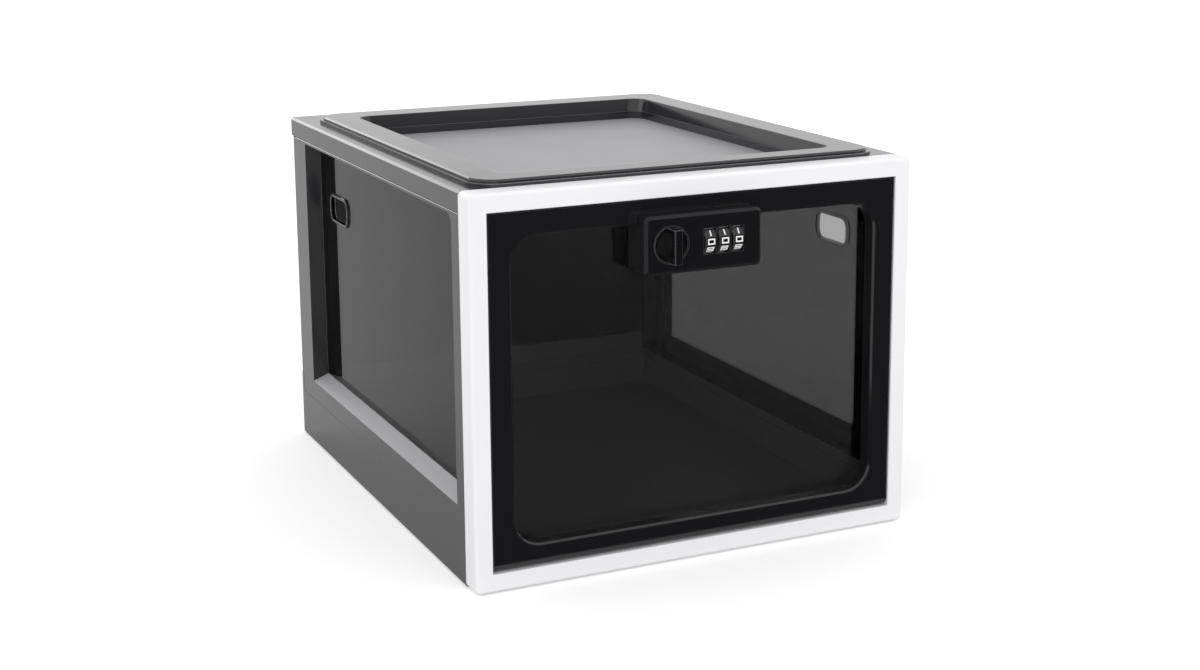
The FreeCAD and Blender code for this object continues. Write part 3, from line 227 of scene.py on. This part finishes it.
# Small polished ABS mouldings: deep black faces with a finer orange peel, drawn at its real width, and
# crisp edges with a pale painted highlight along them.
knob_abs = moulded_plastic("black_abs_knob", "#141416", 0.1, 0.03, 0.8, 0.0006, edge_highlight=("#C0C0C2", 0.24))
wheel_abs = moulded_plastic("black_abs_wheel", "#121214", 0.2, 0.04, 0.8, 0.0006, edge_highlight=("#B0B0B2", 0.2))

# Pad-printed ink: a matt, even white. The mottle of its film is too fine to show, and is drawn 0.4 mm wide.
number_ink = moulded_plastic("white_pad_print", "#F4F4F4", 0.4, 0.03, 0.4, 0.001)

# Grey ABS from a plain machined mould: dull and even. The cutter's marks, about 0.2 mm apart, are drawn
# 0.8 mm apart to show.
grey_abs = moulded_plastic("grey_abs_lever", "#8E8E92", 0.35, 0.05, 0.8, 0.002)

# Moulded rubber: dull black that mirrors almost nothing. Its pores, of about 0.1 mm, are drawn 0.5 mm wide.
foot_rubber = moulded_plastic("black_rubber", "#161616", 0.75, 0.05, 0.5, 0.01, ior=1.52)

# Smoked cast acrylic: the inside shows dimly through it, under a reflection of the room. Cast acrylic has
# an IOR of 1.49. It is lower here, because these windows mirror less, and the side ones least.
side_acrylic = smoked_acrylic("smoked_acrylic_side", "#6C6C6C", 1.2)
door_acrylic = smoked_acrylic("smoked_acrylic_door", "#A8A8A8", 1.4)

# Bright zinc plate on pressed steel is a cool grey with soft streaks, and turned brass has a warm, blurred
# glint. Rolling and turning leave lines about 0.05 mm apart, too fine to show, and drawn 0.3 mm apart.
zinc = tooled_metal("zinc_plated_steel", "#B4B6BA", 0.28, 0.3)
brass = tooled_metal("turned_brass", "#C9A45C", 0.3, 0.3)

# Grained ABS, in the tray and inside the base, and satin ABS, on the sills: both scatter light, and both
# are painted a pale grey among the black, which stands in for the light that falls on them. Their grain
# is about 0.3 mm wide and is drawn 0.9 mm wide to show.
grained_painted_light_abs = moulded_plastic("grained_grey_abs", "#9C9C9F", 0.45, 0.04, 0.9, 0.006)
sill_painted_light_abs = moulded_plastic("satin_grey_abs", "#B0B0B3", 0.42, 0.04, 0.9, 0.004)

# ---------------------------------------------------------------- the finish of each piece

WHEELS = (1, 2, 3)
FINISH = {
    "front_frame": frame_abs, "strike_plate": zinc, "base_tray": case_abs, "rubber_feet": foot_rubber,
    "left_side_panel": case_abs, "left_side_window": side_acrylic, "right_side_panel": case_abs,
    "right_side_window": side_acrylic, "rear_panel": case_abs, "lid": lid_abs,
    "door_panel": door_abs, "door_window": door_acrylic, "hinge_pins": zinc, "lock_housing": lock_abs,
    "lock_back_cover": lock_abs, "lock_screws": zinc, "wheel_axle": zinc, "detent_spring": zinc,
    "lock_knob": knob_abs, "lock_spindle": lock_abs, "lock_cam": zinc, "cam_screw": zinc,
    "code_lever": grey_abs,
}
for count in WHEELS:
    FINISH[f"number_wheel_{count}"] = wheel_abs
    FINISH[f"code_sleeve_{count}"] = brass

for name, material in FINISH.items():
    nodes[name].data.materials.clear()
    nodes[name].data.materials.append(material)

# ---------------------------------------------------------------- second finishes on a moulding, in painted light

ALONG = 0.9      # a face looks along an axis when its normal has more than this share of it
SILL_UP = 0.85      # least share of a sill's normal that points up
SILL_OUT_LEAST, SILL_OUT_MOST = 0.3, 0.5      # and the share that points sideways
SAME_HEIGHT = 0.1      # mm
INSIDE_ABOVE = 6      # mm, just under the base's floor
INSIDE_HALF_WIDTH = 119      # mm, just past its inner walls

mounts = {mount["name"]: mount for mount in frame["record"]["mounts"]}
tray_floor_height = mounts["lid_tray_floor"]["pos_m"][2]


def finish_faces(name, material, picked):
    """Gives a second finish to the faces of a moulding that picked accepts."""
    mesh = nodes[name].data
    mesh.materials.append(material)
    for face in mesh.polygons:
        if picked(face):
            face.material_index = len(mesh.materials) - 1


def is_sill(face):
    """The floor of a window recess, which slopes outwards."""
    return face.normal.z > SILL_UP and SILL_OUT_LEAST < abs(face.normal.x) < SILL_OUT_MOST


def is_tray_floor(face):
    """The floor of the tray that is sunk in the lid."""
    return abs(face.center.z - tray_floor_height) < SAME_HEIGHT * MM and face.normal.z > ALONG


def is_inside(face):
    """The floor of the base and the low walls around it, which show through the windows."""
    x, y, z = face.center
    faces_in = face.normal.z > ALONG or face.normal.x * x < 0 or face.normal.y < -ALONG
    return z > INSIDE_ABOVE * MM and abs(x) < INSIDE_HALF_WIDTH * MM and faces_in


# These faces of the black mouldings are painted a pale grey: painted light on the tray floor, the inside
# and the sills.
finish_faces("lid", grained_painted_light_abs, is_tray_floor)
finish_faces("base_tray", grained_painted_light_abs, is_inside)
for hand in ("left", "right"):
    finish_faces(hand + "_side_panel", sill_painted_light_abs, is_sill)

# ---------------------------------------------------------------- numbers on the wheels

NUMBER_WIDTH, NUMBER_HEIGHT = 4.2, 3.2      # mm
STROKE = 0.75      # mm
INK_RISE = 0.06      # mm that the ink stands out of its flat, and as far that it sinks in
MITRE_LIMIT = 0.4      # keeps a sharp corner of a stroke from running out in a spike
# Each number as strokes on a grid from -1 to 1 each way.
STROKES = {
    0: [[(-1, -1), (-1, 1), (1, 1), (1, -1), (-1, -1)]],
    1: [[(0, 1), (0, -1)]],
    2: [[(-1, 1), (1, 1), (1, 0), (-1, 0), (-1, -1), (1, -1)]],
    3: [[(-1, 1), (1, 1), (1, -1), (-1, -1)], [(-0.4, 0), (1, 0)]],
    4: [[(-1, 1), (-1, 0), (1, 0)], [(1, 1), (1, -1)]],
    5: [[(1, 1), (-1, 1), (-1, 0), (1, 0), (1, -1), (-1, -1)]],
    6: [[(1, 1), (-1, 1), (-1, -1), (1, -1), (1, 0), (-1, 0)]],
    7: [[(-1, 1), (1, 1), (0, -1)]],
    8: [[(-1, -1), (-1, 1), (1, 1), (1, -1), (-1, -1)], [(-1, 0), (1, 0)]],
    9: [[(1, 0), (-1, 0), (-1, 1), (1, 1), (1, -1), (-1, -1)]],
}
FLAT_TURN = 360 / len(STROKES)      # degrees from one flat of a wheel to the next


def stroke_faces(points):
    """A flat ribbon along points, with mitred corners, as a list of faces of four points (x, y) in mm."""
    half = STROKE / 2
    closed = points[0] == points[-1]
    path = [Vector(p) for p in (points[:-1] if closed else points)]
    last = len(path) - 1
    sides = []
    for k, spot in enumerate(path):
        arriving = (spot - path[k - 1]).normalized() if closed or k > 0 else None
        leaving = (path[(k + 1) % len(path)] - spot).normalized() if closed or k < last else None
        first, second = arriving or leaving, leaving or arriving
        across = Vector((-first.y - second.y, first.x + second.x)).normalized()
        reach = half / max(across.dot(Vector((-first.y, first.x))), MITRE_LIMIT)
        cap = Vector((0, 0))
        if arriving is None:
            cap = -leaving * half
        if leaving is None:
            cap = arriving * half
        sides.append((spot + across * reach + cap, spot - across * reach + cap))
    pairs = zip(sides, sides[1:] + (sides[:1] if closed else []))
    return [(a[0], a[1], b[1], b[0]) for a, b in pairs]


def add_slab(bm, bottom, top):
    """A closed slab between two faces of four points each."""
    low = [bm.verts.new(point) for point in bottom]
    high = [bm.verts.new(point) for point in top]
    bm.faces.new(high)
    bm.faces.new(low[::-1])
    for k in range(4):
        after = (k + 1) % 4
        bm.faces.new((low[k], low[after], high[after], high[k]))


def make_numbers(wheel):
    """The ten printed numbers, one on each flat of the wheel, with 0 facing the front."""
    low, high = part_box(wheel)
    centre = (low + high) / 2
    flat = (high.y - low.y) / 2
    grid = Vector(((NUMBER_WIDTH - STROKE) / 2, (NUMBER_HEIGHT - STROKE) / 2))
    bm = bmesh.new()
    for number, strokes in STROKES.items():
        turned = math.radians(FLAT_TURN * number)
        out = Vector((0, -math.cos(turned), math.sin(turned)))
        up = Vector((0, math.sin(turned), math.cos(turned)))
        for stroke in strokes:
            for face in stroke_faces([(x * grid.x, y * grid.y) for x, y in stroke]):
                spots = [centre + Vector((spot.x * MM, 0, 0)) + up * spot.y * MM for spot in face]
                bottom = [spot + out * (flat - INK_RISE * MM) for spot in spots]
                top = [spot + out * (flat + INK_RISE * MM) for spot in spots]
                add_slab(bm, bottom, top)
    bmesh.ops.recalc_face_normals(bm, faces=bm.faces)
    mesh = bpy.data.meshes.new(wheel + "_numbers")
    bm.to_mesh(mesh)
    bm.free()
    mesh.materials.append(number_ink)
    piece = bpy.data.objects.new(wheel + "_numbers", mesh)
    bpy.context.scene.collection.objects.link(piece)
    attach(piece, wheel.replace("number_", ""))


for count in WHEELS:
    make_numbers(f"number_wheel_{count}")

# ---------------------------------------------------------------- floor, world, flags and lamps

FLOOR_SIZE = 12      # m
FLOOR_COLOUR = "#E4E4E4"
# How strongly the floor glows for each kind of ray, so that it is white behind the box and in its windows.
FLOOR_GLOW = {"Is Camera Ray": 0.4, "Is Transmission Ray": 0.15, "Is Glossy Ray": 0.04}
FLAG_COLOUR = "#0A0A0A"


def glow_for_rays(tree, strengths):
    """A white glow that only some rays see, as strengths by the names of their Light Path outputs."""
    paths = add_node(tree, "ShaderNodeLightPath")
    total = 0.0
    for ray, strength in strengths.items():
        share = add_node(tree, "ShaderNodeMath", {"operation": "MULTIPLY_ADD"}, Value=paths.outputs[ray],
                         Value_001=strength, Value_002=total)
        total = share.outputs[0]
    return add_node(tree, "ShaderNodeEmission", Color=(1, 1, 1, 1), Strength=total)


def make_floor():
    """A plain pale floor, which keeps the box's shadow."""
    material, tree = start_material("studio_floor")
    paint = add_node(tree, "ShaderNodeBsdfDiffuse", Color=linear(FLOOR_COLOUR))
    glow = glow_for_rays(tree, FLOOR_GLOW)
    both = add_node(tree, "ShaderNodeAddShader", Shader=paint.outputs[0], Shader_001=glow.outputs[0])
    close_material(material, tree, both)
    bpy.ops.mesh.primitive_plane_add(size=FLOOR_SIZE, location=(0, 0, 0))
    floor = bpy.context.active_object
    floor.name = "floor"
    floor.data.materials.append(material)


def make_world():
    """Even white light from all around."""
    world = bpy.data.worlds.new("studio")
    bpy.context.scene.world = world
    world.use_nodes = True
    tree = world.node_tree
    tree.nodes.clear()
    light = add_node(tree, "ShaderNodeBackground", Color=(1, 1, 1, 1), Strength=1.0)
    add_node(tree, "ShaderNodeOutputWorld", Surface=light.outputs[0])


def make_flag(name, start, end):
    """A black studio card that only reflections see, so that the black plastic in front stays black. It is
    a rectangle with two sides along X and opposite corners at start and end."""
    material, tree = start_material(name)
    close_material(material, tree, add_node(tree, "ShaderNodeBsdfDiffuse", Color=linear(FLAG_COLOUR)))
    corners = [start, (end[0], start[1], start[2]), end, (start[0], end[1], end[2])]
    mesh = bpy.data.meshes.new(name)
    mesh.from_pydata(corners, [], [(0, 1, 2, 3)])
    mesh.materials.append(material)
    flag = bpy.data.objects.new(name, mesh)
    bpy.context.scene.collection.objects.link(flag)
    flag.visible_camera = flag.visible_diffuse = flag.visible_shadow = flag.visible_transmission = False


def make_lamp(name, place, target, size, watts, mirrored=True):
    """A soft rectangular lamp that faces target. It shows in reflections if mirrored is True."""
    lamp = bpy.data.objects.new(name, bpy.data.lights.new(name, "AREA"))
    lamp.data.shape = "RECTANGLE"
    lamp.data.size, lamp.data.size_y = size
    lamp.data.energy = watts
    lamp.location = place
    lamp.rotation_mode = "QUATERNION"
    lamp.rotation_quaternion = (Vector(target) - Vector(place)).to_track_quat("-Z", "Y")
    lamp.visible_glossy = mirrored
    bpy.context.scene.collection.objects.link(lamp)


make_floor()
make_world()
# One card lies just above the floor, from a little in front of the door, and one stands at its far end.
make_flag("floor_flag", start=(-0.12, -0.165, 0.0005), end=(3.0, -3.0, 0.0005))
make_flag("front_flag", start=(-0.6, -3.0, 0.0), end=(3.0, -3.0, 1.0))
make_lamp("left_softbox", place=(-1.6, 0.1, 0.9), target=(0, 0, 0.1), size=(1.0, 0.8), watts=2)
make_lamp("rim_softbox", place=(-0.45, 3.0, 1.15), target=(0, 0, 0.2), size=(0.9, 0.6), watts=4)
make_lamp("low_fill", place=(0.2, -1.6, 0.15), target=(0, 0, 0.02), size=(1.6, 0.3), watts=4,
          mirrored=False)

bpy.context.scene.view_settings.view_transform = "Standard"
